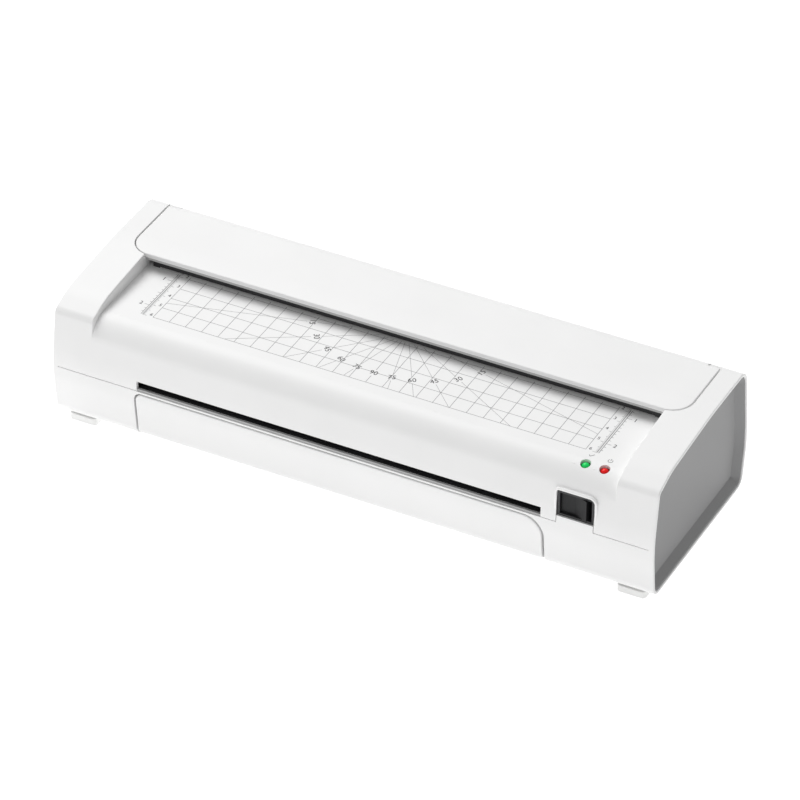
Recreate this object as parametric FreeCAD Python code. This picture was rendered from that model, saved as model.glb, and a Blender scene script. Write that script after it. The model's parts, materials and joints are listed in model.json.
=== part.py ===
import FreeCAD, Part
import math
import os

os.makedirs("parts", exist_ok=True)

V = FreeCAD.Vector

# Frame: X along the machine, front is -Y, Z up, origin under the middle of the feet. Millimetres.

# ---- overall sizes
LENGTH = 362.0
DEPTH = 119.0
HEIGHT = 81.0
FOOT_HEIGHT = 4.0
PARTING = 36.6          # height of the joint between the two halves of the case
WALL = 2.0              # moulded wall
RIM = 3.0               # length of the white rim at each end
PARTING_GROOVE = 0.6
EDGE_ROUND = 0.6        # softened moulded edges
FAR = 4 * LENGTH        # longer than anything here, for cutting right through

# ---- paper bed and lid
BED_SINK = 10.0         # bed below the crown
END_BAND = 24.0         # raised band at each end, rim included
BED_FRONT_RADIUS = 14.0
LID_FRONT = 3.0
LID_OVERLAP = 11.0      # lid beyond the bed on each side
LID_CORNER = 12.0
LID_THICKNESS = 2.4
LID_GAP = 0.8
LID_WRAP = 10.7         # how far the lid's rear lip comes down from the crown
LID_PIVOT_IN = 6.5      # hinge axis in from the rear
LID_PIVOT_DOWN = 6.0
LID_KNUCKLE_RADIUS = 3.2
LID_KNUCKLE_WEB = 4.0
LID_PIN_RADIUS = 1.25
LID_PIN_IN_EAR = 5.5
EAR_STEP = 4.0          # ear starts this far beyond the bed's side
EAR_LENGTH = 11.5       # ear, from the rear of the case forwards
STRIP_DEPTH = 3.0
STRIP_THICKNESS = 1.6
HINGE_SWEEP = 6.5       # room that the lid's rear lip needs as it turns
EAR_RADIUS = 5.3        # ears are rounded about the hinge axis, inside the lid's rear edge as it turns

# ---- trimmer under the lid
TROUGH_INSET = 2.0      # trough ends, in from the bed's sides
TROUGH_FRONT = 26.4
TROUGH_DEPTH = 8.0
REAR_WALL = 4.3         # trough's rear face, in from the rear of the case
CUT_Y = 23.35
MAT_WIDTH = 3.2
MAT_FRONT = 1.4         # mat in front of the cut line
MAT_THICKNESS = 1.0
MAT_INSET = 3.0
CLAMP_FRONT = 6.0
CLAMP_BACK = 21.9
CLAMP_LIFT = 0.8
CLAMP_THICKNESS = 3.7
CLAMP_PAD = 4.0
CLAMP_ROUND = 1.5
RAIL_SIZE = 6.0
RAIL_Y = 34.5
RAIL_LIFT = 1.5
END_BLOCK = 5.5
END_BLOCK_WIDTH = 14.0
CARRIAGE_LENGTH = 26.0
CARRIAGE_PARK = 21.0    # middle of the parked carriage, in from the trough's left end
CARRIAGE_RISE = 2.6     # carriage top above the bed
CARRIAGE_PLATE = 2.1
CARRIAGE_LEG = 4.4
CARRIAGE_REAR_LEG = 3.2
BUTTON_TRAVEL = 2.2
BUTTON_THICKNESS = 2.0
BUTTON_HALF = 11.5
STEM_HALF = 3.5
STEM_DEPTH = 2.6
BLADE_THICKNESS = 0.5
BLADE_HALF = 3.0
BLADE_LIFT = 0.1        # blade above the bed with the button pressed
WELL_OFFSET = 9.0
WELL_RADIUS = 1.7
WELL_FLOOR = 3.5
SLIDE_GAP = 0.3

# ---- pouch path
SLOT_LEFT = -128.4
SLOT_RIGHT = 115.4
SLOT_BOTTOM = 38.0
SLOT_TOP = 43.0
EXIT_DROP = 0.4
NIP_Z = 40.0
ROLLER_Y = 8.0
ROLLER_CENTRES = 22.0
NIP_GAP = 0.3
ROLLER_WIDTH = 240.0
CORE_RADIUS = 4.0
RUNNING_GAP = 0.05
BUSH_RADIUS = 7.0
BUSH_FLANGE = 0.9
BUSH_COLLAR = 5.0
BUSH_BARREL = 1.5       # barrel beyond the side frame
CLIP_THICKNESS = 0.8
ROLLER_LIFT = 0.6
FRAME_THICKNESS = 2.0
FRAME_FRONT = -44.0
FRAME_BACK = 34.0
FRAME_BOTTOM = 8.0
FRAME_TOP = 60.0
TOWER_HALF = 12.0
PERCH_HALF = 5.0
PERCH_THICKNESS = 1.5
SPRING_LENGTH = 7.1
ROD_RADIUS = 3.0
ROD_Z = 14.0
ROD_PLACES = (-36.0, 28.0)
PLATE_FRONT = -42.0
PLATE_BACK = -10.0
PLATE_THICKNESS = 3.5
PLATE_GAP = 3.0
ELEMENT_THICKNESS = 2.0
ELEMENT_HALF = 105.0
SHIELD_Z = 52.0
SHIELD_THICKNESS = 0.8
THERMOSTAT_RADIUS = 4.5
THERMOSTAT_HEIGHT = 5.0
FUSE_RADIUS = 1.8
FUSE_LENGTH = 12.0
SENSOR_IN = 6.0         # thermostat and fuse, in from the plate's rear edge
GUIDE_THICKNESS = 1.0
GUIDE_SETBACK = 2.9     # guides end this far inside the case's faces
EXIT_GUIDE_START = 12.5 # exit guides begin this far behind the rollers' axis

# ---- drive
MODULE = 1.0
ROLLER_TEETH = 22
PINION_TEETH = 16
PRESSURE_ANGLE = 20.0
ADDENDUM = 0.9
DEDENDUM = 1.2
GEAR_WIDTH = 7.0
GEAR_STANDOFF = 11.5    # gears' outer face beyond the left side frame
BACKLASH = 0.2
PINION_ANGLE = 160.0    # direction from the lower roller to the pinion, degrees above +Y
MOTOR_RADIUS = 25.0
MOTOR_LENGTH = 20.0
MOTOR_SHAFT_RADIUS = 3.0
BRACKET_THICKNESS = 1.5
BRACKET_GAP = 4.0       # bracket to gears
BRACKET_FRONT = 28.0
BRACKET_BACK = 8.0
POST_FORWARD = 24.0
POST_SPREAD = 14.0

# ---- feed tray at the front
TRAY_LEFT = -129.4
TRAY_RIGHT = 115.8
TRAY_TOP = 34.5
TRAY_BOTTOM = 7.0
TRAY_THICKNESS = 2.4
TRAY_GAP = 1.0
TRAY_LEFT_CORNER = 4.0
TRAY_RIGHT_CORNER = 11.0
TRAY_PIVOT_IN = 6.0     # hinge axis in from the front
TRAY_PIVOT_Z = 9.5
TRAY_SWEEP = 6.2
TRAY_PIN_RADIUS = 1.2
TRAY_KNUCKLE = 7.4
TRAY_KNUCKLE_RADIUS = 3.0
BAY_DEPTH = 5.2
BAY_SIDE = 4.0

# ---- switch, lamps, cord gland
SWITCH_X = 135.2
SWITCH_WIDTH = 21.2
SWITCH_BOTTOM = 41.1
SWITCH_TOP = 57.1
SWITCH_SETBACK = 1.2
SWITCH_DEPTH = 18.3
SWITCH_WALL = 1.3
SWITCH_GAP = 0.4
SWITCH_LEFT_CORNER = 1.5
SWITCH_RIGHT_CORNER = 3.0
ROCKER_PIVOT_IN = 8.2
ROCKER_HALF = 7.9
ROCKER_FACE = 5.48      # middle of the rocker's face in front of its axis
ROCKER_TILT = 10.0
TERMINAL_PITCH = 6.5
TERMINAL_LENGTH = 7.0
LAMP_IN = 12.5          # lamps, in from the front
GREEN_X = 135.0
RED_X = 146.0
LAMP_RADIUS = 2.5
LAMP_HOLE = 2.9
LAMP_TOP = 0.6          # lamp's tip below the bed
LAMP_BOARD_DROP = 9.0   # lamp board's top below the bed
BOARD_THICKNESS = 1.6
GLAND_IN = 15.0         # in from the right end
GLAND_Z = 20.0
GLAND_RADIUS = 6.0
GLAND_BORE = 3.6
GLAND_LENGTH = 14.0
GLAND_SETBACK = 1.6

# ---- feet, screws, control board, leads
FOOT_IN = 14.5
FOOT_EDGE = 9.5
FOOT_LENGTH = 17.0
FOOT_DEPTH = 10.0
FOOT_PEG = 2.5
SCREW_IN = 24.0
SCREW_EDGE = 19.5
SCREW_RADIUS = 1.5
SCREW_HEAD = 3.0
SCREW_SINK = 6.0
BOSS_RADIUS = 4.5
VENT_COUNT = 9
VENT_PITCH = 22.0
VENT_LENGTH = 16.0
VENT_WIDTH = 3.0
VENT_ROWS = (-28.5, -18.5)
BOARD_GAP = 5.5         # control board beyond the right side frame
BOARD_END = 8.0
BOARD_FRONT = -20.0
BOARD_BACK = 32.0
BOARD_Z = 12.0
HARNESS_RADIUS = 1.8
HARNESS_Z = 12.0
HARNESS_BEND = 8.0
HARNESS_END = 18.0

# ---- worked-out places
SHELL_HALF = LENGTH / 2 - RIM
BED_HALF = LENGTH / 2 - END_BAND
BED_HEIGHT = HEIGHT - BED_SINK
LID_HALF = BED_HALF + LID_OVERLAP
LID_LIP_BOTTOM = HEIGHT - LID_WRAP
LID_PIVOT_Y = DEPTH / 2 - LID_PIVOT_IN
LID_PIVOT_Z = HEIGHT - LID_PIVOT_DOWN
EAR_START = BED_HALF + EAR_STEP
EAR_FRONT = DEPTH / 2 - EAR_LENGTH + 0.5
KNUCKLE_START = BED_HALF - 1.5
TROUGH_HALF = BED_HALF - TROUGH_INSET
TROUGH_BACK = DEPTH / 2 - REAR_WALL
TROUGH_FLOOR = BED_HEIGHT - TROUGH_DEPTH
REAR_WALL_TOP = LID_LIP_BOTTOM - 1.0
RAIL_BOTTOM = TROUGH_FLOOR + RAIL_LIFT
CARRIAGE_X = CARRIAGE_PARK - TROUGH_HALF
CARRIAGE_TOP = BED_HEIGHT + CARRIAGE_RISE
ROLLER_RADIUS = (ROLLER_CENTRES - NIP_GAP) / 2
MID_X = (SLOT_LEFT + SLOT_RIGHT) / 2
FRAME_CLEAR = ROLLER_WIDTH / 2 + BUSH_COLLAR + 1.0
FRAME_IN_LEFT = MID_X - FRAME_CLEAR
FRAME_IN_RIGHT = MID_X + FRAME_CLEAR
LOWER_Z = NIP_Z - ROLLER_CENTRES / 2
UPPER_Z = NIP_Z + ROLLER_CENTRES / 2
SPRING_LOW = UPPER_Z + BUSH_RADIUS + BUSH_FLANGE
PERCH_TOP = SPRING_LOW + SPRING_LENGTH + PERCH_THICKNESS
GEAR_OUTER = FRAME_IN_LEFT - FRAME_THICKNESS - GEAR_STANDOFF
MESH_DISTANCE = MODULE * (ROLLER_TEETH + PINION_TEETH) / 2
PINION_Y = ROLLER_Y + MESH_DISTANCE * math.cos(math.radians(PINION_ANGLE))
PINION_Z = LOWER_Z + MESH_DISTANCE * math.sin(math.radians(PINION_ANGLE))
MOTOR_SIDE = GEAR_OUTER - BRACKET_GAP - BRACKET_THICKNESS
PLATE_BOTTOM = NIP_Z - PLATE_GAP / 2
PLATE_TOP = NIP_Z + PLATE_GAP / 2
TRAY_PIVOT_Y = TRAY_PIVOT_IN - DEPTH / 2
BAY_BACK = BAY_DEPTH - DEPTH / 2
BAY_LEFT = TRAY_LEFT - TRAY_GAP
BAY_RIGHT = TRAY_RIGHT + 1.5 * TRAY_GAP
SWITCH_FACE = SWITCH_SETBACK - DEPTH / 2
SWITCH_BACK = SWITCH_FACE + SWITCH_DEPTH
ROCKER_PIVOT_Y = ROCKER_PIVOT_IN - DEPTH / 2
LAMP_Y = LAMP_IN - DEPTH / 2
LAMP_BOARD_TOP = BED_HEIGHT - LAMP_BOARD_DROP
GLAND_X = LENGTH / 2 - GLAND_IN
FOOT_X = LENGTH / 2 - FOOT_IN
FOOT_Y = DEPTH / 2 - FOOT_EDGE
SCREW_X = LENGTH / 2 - SCREW_IN
SCREW_Y = DEPTH / 2 - SCREW_EDGE
BOARD_LEFT = FRAME_IN_RIGHT + BOARD_GAP
BOARD_RIGHT = LENGTH / 2 - BOARD_END
BOARD_TOP = BOARD_Z + BOARD_THICKNESS
HARNESS_Y = SCREW_Y + 4.0


def box(x0, x1, y0, y1, z0, z1):
    return Part.makeBox(x1 - x0, y1 - y0, z1 - z0, V(x0, y0, z0))


def rod_x(x0, x1, y, z, r):
    return Part.makeCylinder(r, x1 - x0, V(x0, y, z), V(1, 0, 0))


def rod_y(y0, y1, x, z, r):
    return Part.makeCylinder(r, y1 - y0, V(x, y0, z), V(0, 1, 0))


def rod_z(z0, z1, x, y, r):
    return Part.makeCylinder(r, z1 - z0, V(x, y, z0), V(0, 0, 1))


def join(pieces):
    pieces = list(pieces)
    return pieces[0].multiFuse(pieces[1:]).removeSplitter() if len(pieces) > 1 else pieces[0]


def both_ends(shape):
    """The shape and its mirror image about the machine's middle."""
    return [shape, shape.mirror(V(0, 0, 0), V(1, 0, 0))]


def rounded_loop(corners, inset=0.0):
    """Corner points (u, v, radius), clockwise, moved inwards by inset, as lines and tangent arcs."""
    count = len(corners)
    lines = []
    for i in range(count):
        a = corners[i]
        b = corners[(i + 1) % count]
        run = math.hypot(b[0] - a[0], b[1] - a[1])
        d = ((b[0] - a[0]) / run, (b[1] - a[1]) / run)
        lines.append(((a[0] + d[1] * inset, a[1] - d[0] * inset), d))
    stops = []
    for i in range(count):
        p, d1 = lines[i - 1]
        q, d2 = lines[i]
        cross = d1[0] * d2[1] - d1[1] * d2[0]
        t = ((q[0] - p[0]) * d2[1] - (q[1] - p[1]) * d2[0]) / cross
        u = p[0] + d1[0] * t
        v = p[1] + d1[1] * t
        half_turn = abs(math.atan2(cross, d1[0] * d2[0] + d1[1] * d2[1])) / 2
        r = max(corners[i][2] - inset, 0.3)
        back = r * math.tan(half_turn)
        bu = d2[0] - d1[0]
        bv = d2[1] - d1[1]
        reach = (r / math.cos(half_turn) - r) / math.hypot(bu, bv)
        start = (u - d1[0] * back, v - d1[1] * back)
        middle = (u + bu * reach, v + bv * reach)
        end = (u + d2[0] * back, v + d2[1] * back)
        stops.append((start, middle, end))
    return stops


def loop_face(stops, place):
    """A face from the stops of rounded_loop; place turns (u, v) into a point."""
    edges = []
    for i, (start, middle, end) in enumerate(stops):
        edges.append(Part.Arc(place(*start), place(*middle), place(*end)).toShape())
        edges.append(Part.makeLine(place(*end), place(*stops[(i + 1) % len(stops)][0])))
    return Part.Face(Part.Wire(edges))


def along_x(corners, x0, x1, inset=0.0):
    face = loop_face(rounded_loop(corners, inset), lambda y, z: V(x0, y, z))
    return face.extrude(V(x1 - x0, 0, 0))


def end_face(corners, x, inset):
    return loop_face(rounded_loop(corners, inset), lambda y, z: V(x, y, z))


def prism_y(corners, y0, y1):
    face = loop_face(rounded_loop(corners), lambda x, z: V(x, y0, z))
    return face.extrude(V(0, y1 - y0, 0))


def prism_z(corners, z0, z1):
    face = loop_face(rounded_loop(corners), lambda x, y: V(x, y, z0))
    return face.extrude(V(0, 0, z1 - z0))


def polygon_x(points, x0, x1):
    wire = Part.makePolygon([V(x0, y, z) for y, z in points] + [V(x0, *points[0])])
    return Part.Face(wire).extrude(V(x1 - x0, 0, 0))


def coil(x, y, z0, z1, radius, wire_radius, turns):
    """A compression spring that stands between z0 and z1."""
    height = z1 - z0 - 2 * wire_radius
    path = Part.makeHelix(height / turns, height, radius)
    ring = Part.Wire(Part.makeCircle(wire_radius, V(radius, 0, 0), V(0, 1, 0)))
    spring = Part.Wire(path).makePipeShell([ring], True, True)
    spring.translate(V(x, y, z0 + wire_radius))
    return spring


def gear(teeth, x0, x1, y, z, tooth_angle, bore):
    """Spur gear about X with involute flanks; one tooth points at tooth_angle, degrees above +Y."""
    pitch_r = MODULE * teeth / 2
    base_r = pitch_r * math.cos(math.radians(PRESSURE_ANGLE))
    tip_r = pitch_r + ADDENDUM * MODULE
    root_r = pitch_r - DEDENDUM * MODULE
    pressure = math.radians(PRESSURE_ANGLE)
    half_tooth = math.pi / (2 * teeth) - BACKLASH / (4 * pitch_r)
    half_base = half_tooth + math.tan(pressure) - pressure
    flank = []
    steps = 4
    for k in range(steps + 1):
        r = max(base_r, root_r) + (tip_r - max(base_r, root_r)) * k / steps
        roll = math.acos(min(1.0, base_r / r))
        flank.append((r, half_base - (math.tan(roll) - roll)))
    flank.insert(0, (root_r, flank[0][1]))
    points = []
    for tooth in range(teeth):
        centre = math.radians(tooth_angle) + 2 * math.pi * tooth / teeth
        points += [(r, centre - a) for r, a in flank]
        points += [(r, centre + a) for r, a in reversed(flank)]
    outline = [(y + r * math.cos(a), z + r * math.sin(a)) for r, a in points]
    return polygon_x(outline, x0, x1).cut(rod_x(x0 - 1, x1 + 1, y, z, bore))


def soften(shape, radius, chosen):
    """Round the edges for which chosen(edge) is true."""
    edges = [e for e in shape.Edges if chosen(e)]
    return shape.makeFillet(radius, edges)


def save(name, *solids):
    shape = solids[0] if len(solids) == 1 else Part.makeCompound(list(solids))
    shape.exportStep("parts/" + name + ".step")
    print(name, len(shape.Solids), "solid(s)", round(shape.Volume), "mm3", shape.isValid())


# ---- the case's cross-section: corners (y, z, radius), clockwise seen from +X
def case_section():
    half = DEPTH / 2
    return [(-half + 2.5, FOOT_HEIGHT, 7.0), (-half, PARTING - 6.6, 40.0), (-half, PARTING + 5.4, 80.0),
            (-half + 4.3, HEIGHT - 9.5, 5.0), (-half + 19.5, HEIGHT - 4.0, 40.0), (10.0, HEIGHT, 300.0),
            (half - 4.1, HEIGHT, 9.0), (half, PARTING + 5.4, 80.0), (half, PARTING - 8.6, 40.0),
            (half - 4.0, FOOT_HEIGHT, 7.0)]


def bed_section():
    """The same section where the paper bed is sunk in: the crown is replaced by the flat bed."""
    full = case_section()
    half = DEPTH / 2
    rise = BED_HEIGHT - (PARTING + 5.4)
    front = -half + 4.3 * rise / (HEIGHT - 9.5 - PARTING - 5.4)
    back = half - 4.1 * rise / (HEIGHT - PARTING - 5.4)
    return full[:3] + [(front, BED_HEIGHT, BED_FRONT_RADIUS), (back, BED_HEIGHT, 1.0)] + full[7:]


SECTION = case_section()
BED_SECTION = bed_section()


def above(z):
    return box(-FAR, FAR, -FAR, FAR, z, 2 * FAR)


def below(z):
    return box(-FAR, FAR, -FAR, FAR, -FAR, z)


def lid_outline(grow):
    """Lid seen from above, with its rear corners left out for the hinge ears."""
    half = LID_HALF + grow
    front = LID_FRONT - grow
    radius = LID_CORNER + grow
    back = DEPTH / 2 + 5
    corners = [(-half, front, radius), (-half, back, 0.5), (half, back, 0.5), (half, front, radius)]
    plate = prism_z(corners, 0, 2 * HEIGHT)
    for ear in both_ends(box(EAR_START - SLIDE_GAP + grow, FAR, EAR_FRONT + grow, FAR, -1, 3 * HEIGHT)):
        plate = plate.cut(ear)
    return plate


def outside_section(point, depth):
    """True where a point lies within depth of the case's outer surface."""
    inner = end_face(SECTION, 0, depth)
    return not inner.isInside(V(0, point.y, point.z), 1e-4, True)


def on_lid_rim(edge):
    """The lid's outer edges along its front, its sides and its rounded corners."""
    middle = edge.valueAt((edge.FirstParameter + edge.LastParameter) / 2)
    near_front = middle.y < LID_FRONT + LID_CORNER
    near_side = abs(middle.x) > LID_HALF - 0.01 and middle.y < EAR_FRONT - 1
    return (near_front or near_side) and outside_section(middle, 0.05) and edge.Length > 0.5


def make_lid():
    skin = along_x(SECTION, -FAR, FAR).cut(along_x(SECTION, -2 * FAR, 2 * FAR, LID_THICKNESS))
    lid = skin.common(lid_outline(0)).common(above(LID_LIP_BOTTOM))
    lid = soften(lid, EDGE_ROUND, on_lid_rim)
    inner = along_x(SECTION, -FAR, FAR, LID_THICKNESS / 2)
    knuckle = rod_x(KNUCKLE_START, EAR_START - SLIDE_GAP, LID_PIVOT_Y, LID_PIVOT_Z, LID_KNUCKLE_RADIUS)
    web = box(KNUCKLE_START, EAR_START - SLIDE_GAP, LID_PIVOT_Y - LID_KNUCKLE_WEB / 2,
              LID_PIVOT_Y + LID_KNUCKLE_WEB / 2, LID_PIVOT_Z, HEIGHT)
    hole = rod_x(0, FAR, LID_PIVOT_Y, LID_PIVOT_Z, LID_PIN_RADIUS)
    arms = both_ends(knuckle.fuse(web).common(inner))
    return join([lid] + arms).cut(hole).cut(hole.mirror(V(0, 0, 0), V(1, 0, 0)))


def make_lid_strip():
    skin = along_x(SECTION, -FAR, FAR, LID_THICKNESS)
    skin = skin.cut(along_x(SECTION, -2 * FAR, 2 * FAR, LID_THICKNESS + STRIP_THICKNESS))
    reach = BED_HALF - 1.0
    return skin.common(box(-reach, reach, LID_FRONT + 0.2, LID_FRONT + 0.2 + STRIP_DEPTH, BED_HEIGHT, HEIGHT))


def make_lid_pins():
    pin_end = EAR_START + LID_PIN_IN_EAR
    return both_ends(rod_x(KNUCKLE_START, pin_end, LID_PIVOT_Y, LID_PIVOT_Z, LID_PIN_RADIUS))


def screw_places():
    return [(x, y) for x in (-SCREW_X, SCREW_X) for y in (-SCREW_Y, SCREW_Y)]


def mat_block(top):
    """The cutting mat's strip under the cut line, up to a height."""
    reach = TROUGH_HALF - MAT_INSET
    front = CUT_Y - MAT_FRONT
    return box(-reach, reach, front, front + MAT_WIDTH, BED_HEIGHT - MAT_THICKNESS, top)


def make_top_housing():
    half = SHELL_HALF
    side = BED_HALF + WALL
    outer = [along_x(BED_SECTION, -BED_HALF, BED_HALF)]
    outer += both_ends(along_x(SECTION, BED_HALF, half))
    trough_block = box(-BED_HALF, BED_HALF, TROUGH_FRONT - WALL, FAR, TROUGH_FLOOR - WALL, FAR)
    hollow = [along_x(BED_SECTION, -side, side, WALL).cut(trough_block)]
    hollow += both_ends(along_x(SECTION, side, half, WALL))
    housing = join(outer).cut(join(hollow))
    # a thicker ledge carries the lid where it lies over the end bands
    ledge = along_x(SECTION, BED_HALF, LID_HALF + LID_GAP + WALL)
    ledge = ledge.cut(along_x(SECTION, 0, FAR, LID_THICKNESS + SLIDE_GAP + WALL))
    ledge = ledge.common(box(0, FAR, LID_FRONT - LID_GAP - WALL, FAR, BED_HEIGHT, FAR))
    hinge_block = box(BED_HALF, LID_HALF + LID_GAP + WALL, LID_PIVOT_Y - 9, FAR, LID_PIVOT_Z - 11, FAR)
    hinge_block = hinge_block.common(along_x(SECTION, 0, half))
    bosses = [rod_z(PARTING, BED_HEIGHT - 1, x, y, BOSS_RADIUS) for x, y in screw_places()]
    post_places = (GREEN_X - 6, (GREEN_X + RED_X) / 2)
    posts = [rod_z(LAMP_BOARD_TOP, BED_HEIGHT - 1, x, LAMP_Y, 2.0) for x in post_places]
    housing = join([housing] + both_ends(ledge) + both_ends(hinge_block) + bosses + posts)
    housing = housing.common(above(PARTING))
    cuts = [box(-TROUGH_HALF, TROUGH_HALF, TROUGH_FRONT, TROUGH_BACK, TROUGH_FLOOR, FAR)]
    cuts.append(box(-BED_HALF, BED_HALF, TROUGH_BACK - 0.1, FAR, REAR_WALL_TOP, FAR))
    seat = along_x(SECTION, -FAR, FAR, -1.0)
    seat = seat.cut(along_x(SECTION, -2 * FAR, 2 * FAR, LID_THICKNESS + SLIDE_GAP))
    cuts.append(seat.common(lid_outline(LID_GAP)).common(above(LID_LIP_BOTTOM - LID_GAP)))
    cuts.append(rod_x(-EAR_START, EAR_START, LID_PIVOT_Y, LID_PIVOT_Z, HINGE_SWEEP))
    pin_hole = rod_x(EAR_START - 1, EAR_START + LID_PIN_IN_EAR + 0.5, LID_PIVOT_Y, LID_PIVOT_Z,
                     LID_PIN_RADIUS + RUNNING_GAP)
    cuts += both_ends(pin_hole)
    ear_top = box(EAR_START - 1, LID_HALF + LID_GAP, EAR_FRONT, FAR, LID_PIVOT_Z, FAR)
    cuts += both_ends(ear_top.cut(rod_x(0, FAR, LID_PIVOT_Y, LID_PIVOT_Z, EAR_RADIUS)))
    cuts.append(mat_block(FAR))
    cuts.append(box(SLOT_LEFT, SLOT_RIGHT, -FAR, -DEPTH / 2 + 8, PARTING, SLOT_TOP))
    cuts.append(box(SLOT_LEFT, SLOT_RIGHT, DEPTH / 2 - 8, FAR, SLOT_BOTTOM - EXIT_DROP,
                    SLOT_TOP - EXIT_DROP / 2))
    wide = SWITCH_WIDTH / 2 + SWITCH_GAP
    top = SWITCH_TOP + SWITCH_GAP
    notch = [(SWITCH_X - wide, PARTING - 5, 0.5), (SWITCH_X - wide, top, SWITCH_LEFT_CORNER),
             (SWITCH_X + wide, top, SWITCH_RIGHT_CORNER), (SWITCH_X + wide, PARTING - 5, 0.5)]
    cuts.append(prism_y(notch, -FAR, -DEPTH / 2 + 10))
    cuts += [rod_z(BED_HEIGHT - 6, FAR, x, LAMP_Y, LAMP_HOLE) for x in (GREEN_X, RED_X)]
    cuts += [rod_z(PARTING - 1, PARTING + 14, x, y, SCREW_RADIUS) for x, y in screw_places()]
    groove = along_x(SECTION, -half, half, -1.0).cut(along_x(SECTION, -FAR, FAR, PARTING_GROOVE))
    cuts.append(groove.common(box(-half, half, -FAR, FAR, PARTING, PARTING + PARTING_GROOVE)))
    for cut in cuts:
        housing = housing.cut(cut)
    return soften(housing, EDGE_ROUND, on_bed_wall)


def on_bed_wall(edge):
    """Top edges of the two walls beside the paper bed, in front of the lid."""
    at_wall = all(abs(abs(v.X) - BED_HALF) < 1e-4 for v in edge.Vertexes)
    points = [v.Point for v in edge.Vertexes]
    in_front = all(-DEPTH / 2 + 12 < p.y < LID_FRONT - 0.4 for p in points)
    return at_wall and in_front and all(p.z > BED_HEIGHT + 2 for p in points)


def tray_outline(grow, right_grow):
    return [(TRAY_LEFT - grow, TRAY_BOTTOM - grow, 2.0),
            (TRAY_LEFT - grow, TRAY_TOP + grow, TRAY_LEFT_CORNER + grow),
            (TRAY_RIGHT + right_grow, TRAY_TOP + grow, TRAY_RIGHT_CORNER + grow),
            (TRAY_RIGHT + right_grow, TRAY_BOTTOM - grow, 2.0)]


def make_bottom_case():
    half = SHELL_HALF
    shell = along_x(SECTION, -half, half).cut(along_x(SECTION, -FAR, FAR, WALL)).common(below(PARTING))
    left = BAY_LEFT - BAY_SIDE
    right = BAY_RIGHT + BAY_SIDE
    liner = box(left, right, -DEPTH / 2 - 1, BAY_BACK + WALL, FOOT_HEIGHT, PARTING)
    liner = liner.fuse(rod_x(left, right, TRAY_PIVOT_Y, TRAY_PIVOT_Z, TRAY_SWEEP + WALL))
    liner = liner.common(along_x(SECTION, -half, half)).common(below(PARTING))
    bosses = [rod_z(FOOT_HEIGHT, PARTING, x, y, BOSS_RADIUS) for x, y in screw_places()]
    tab_half = SWITCH_WIDTH / 2
    tab = along_x(SECTION, SWITCH_X - tab_half, SWITCH_X + tab_half)
    tab = tab.cut(along_x(SECTION, -FAR, FAR, WALL))
    tab = tab.common(box(0, FAR, -DEPTH / 2 - 1, 0, PARTING - 1, SWITCH_BOTTOM - 0.1))
    board_posts = [rod_z(FOOT_HEIGHT + 1, BOARD_Z, x, y, 2.5)
                   for x in (BOARD_LEFT + 5, BOARD_RIGHT - 5) for y in (BOARD_FRONT + 6, BOARD_BACK - 6)]
    case = join([shell, liner, tab] + bosses + board_posts)
    cuts = [prism_y(tray_outline(TRAY_GAP, 1.5 * TRAY_GAP), -FAR, BAY_BACK)]
    cuts.append(rod_x(BAY_LEFT, BAY_RIGHT, TRAY_PIVOT_Y, TRAY_PIVOT_Z, TRAY_SWEEP))
    cuts.append(rod_x(left - 1, right + 1, TRAY_PIVOT_Y, TRAY_PIVOT_Z, TRAY_PIN_RADIUS + RUNNING_GAP))
    cuts.append(rod_y(DEPTH / 2 - 8, FAR, GLAND_X, GLAND_Z, GLAND_RADIUS))
    for x, y in screw_places():
        cuts.append(rod_z(0, PARTING + 1, x, y, SCREW_RADIUS + 0.2))
        cuts.append(rod_z(0, FOOT_HEIGHT + SCREW_SINK, x, y, SCREW_HEAD + 0.4))
    for x, y in foot_places():
        cuts.append(rod_z(0, FOOT_HEIGHT + WALL + 1, x, y, FOOT_PEG + 0.1))
    for i in range(VENT_COUNT):
        x = MID_X + (i - (VENT_COUNT - 1) / 2) * VENT_PITCH
        for y in VENT_ROWS:
            cuts.append(box(x - VENT_LENGTH / 2, x + VENT_LENGTH / 2, y - VENT_WIDTH / 2, y + VENT_WIDTH / 2,
                            0, FOOT_HEIGHT + WALL + 1))
    for cut in cuts:
        case = case.cut(cut)
    return case


def foot_places():
    return [(x, y) for x in (-FOOT_X, FOOT_X) for y in (-FOOT_Y, FOOT_Y)]


def make_feet():
    feet = []
    for x, y in foot_places():
        a = FOOT_LENGTH / 2
        b = FOOT_DEPTH / 2
        corners = [(x - a, y - b, 2.5), (x - a, y + b, 2.5), (x + a, y + b, 2.5), (x + a, y - b, 2.5)]
        pad = prism_z(corners, 0, FOOT_HEIGHT)
        feet.append(pad.fuse(rod_z(FOOT_HEIGHT - 1, FOOT_HEIGHT + WALL + 0.6, x, y, FOOT_PEG)))
    return feet


def make_end_frame():
    ring = along_x(SECTION, SHELL_HALF, LENGTH / 2)
    ring = ring.cut(along_x(SECTION, 0, FAR, WALL))
    return ring.makeFillet(0.7, [e for e in ring.Edges if on_plane_x(e, LENGTH / 2)])


def on_plane_x(edge, x):
    return all(abs(v.X - x) < 1e-6 for v in edge.Vertexes)


def make_end_panel():
    """Grey dished panel: a rim just inside the white ring, slopes inwards to a flat plate."""
    outer_x = LENGTH / 2 - 0.8
    flat_x = outer_x - 3.6
    plate = along_x(SECTION, flat_x - WALL, outer_x, WALL + 0.1)
    wide = end_face(SECTION, outer_x + 0.01, WALL + 0.9).OuterWire
    narrow = end_face(SECTION, flat_x, WALL + 5.5).OuterWire
    return plate.cut(Part.makeLoft([narrow, wide], True, True))


def make_slot_lip():
    return box(SLOT_LEFT, SLOT_RIGHT, -DEPTH / 2 + 0.6, -DEPTH / 2 + WALL, PARTING, SLOT_BOTTOM)


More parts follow.
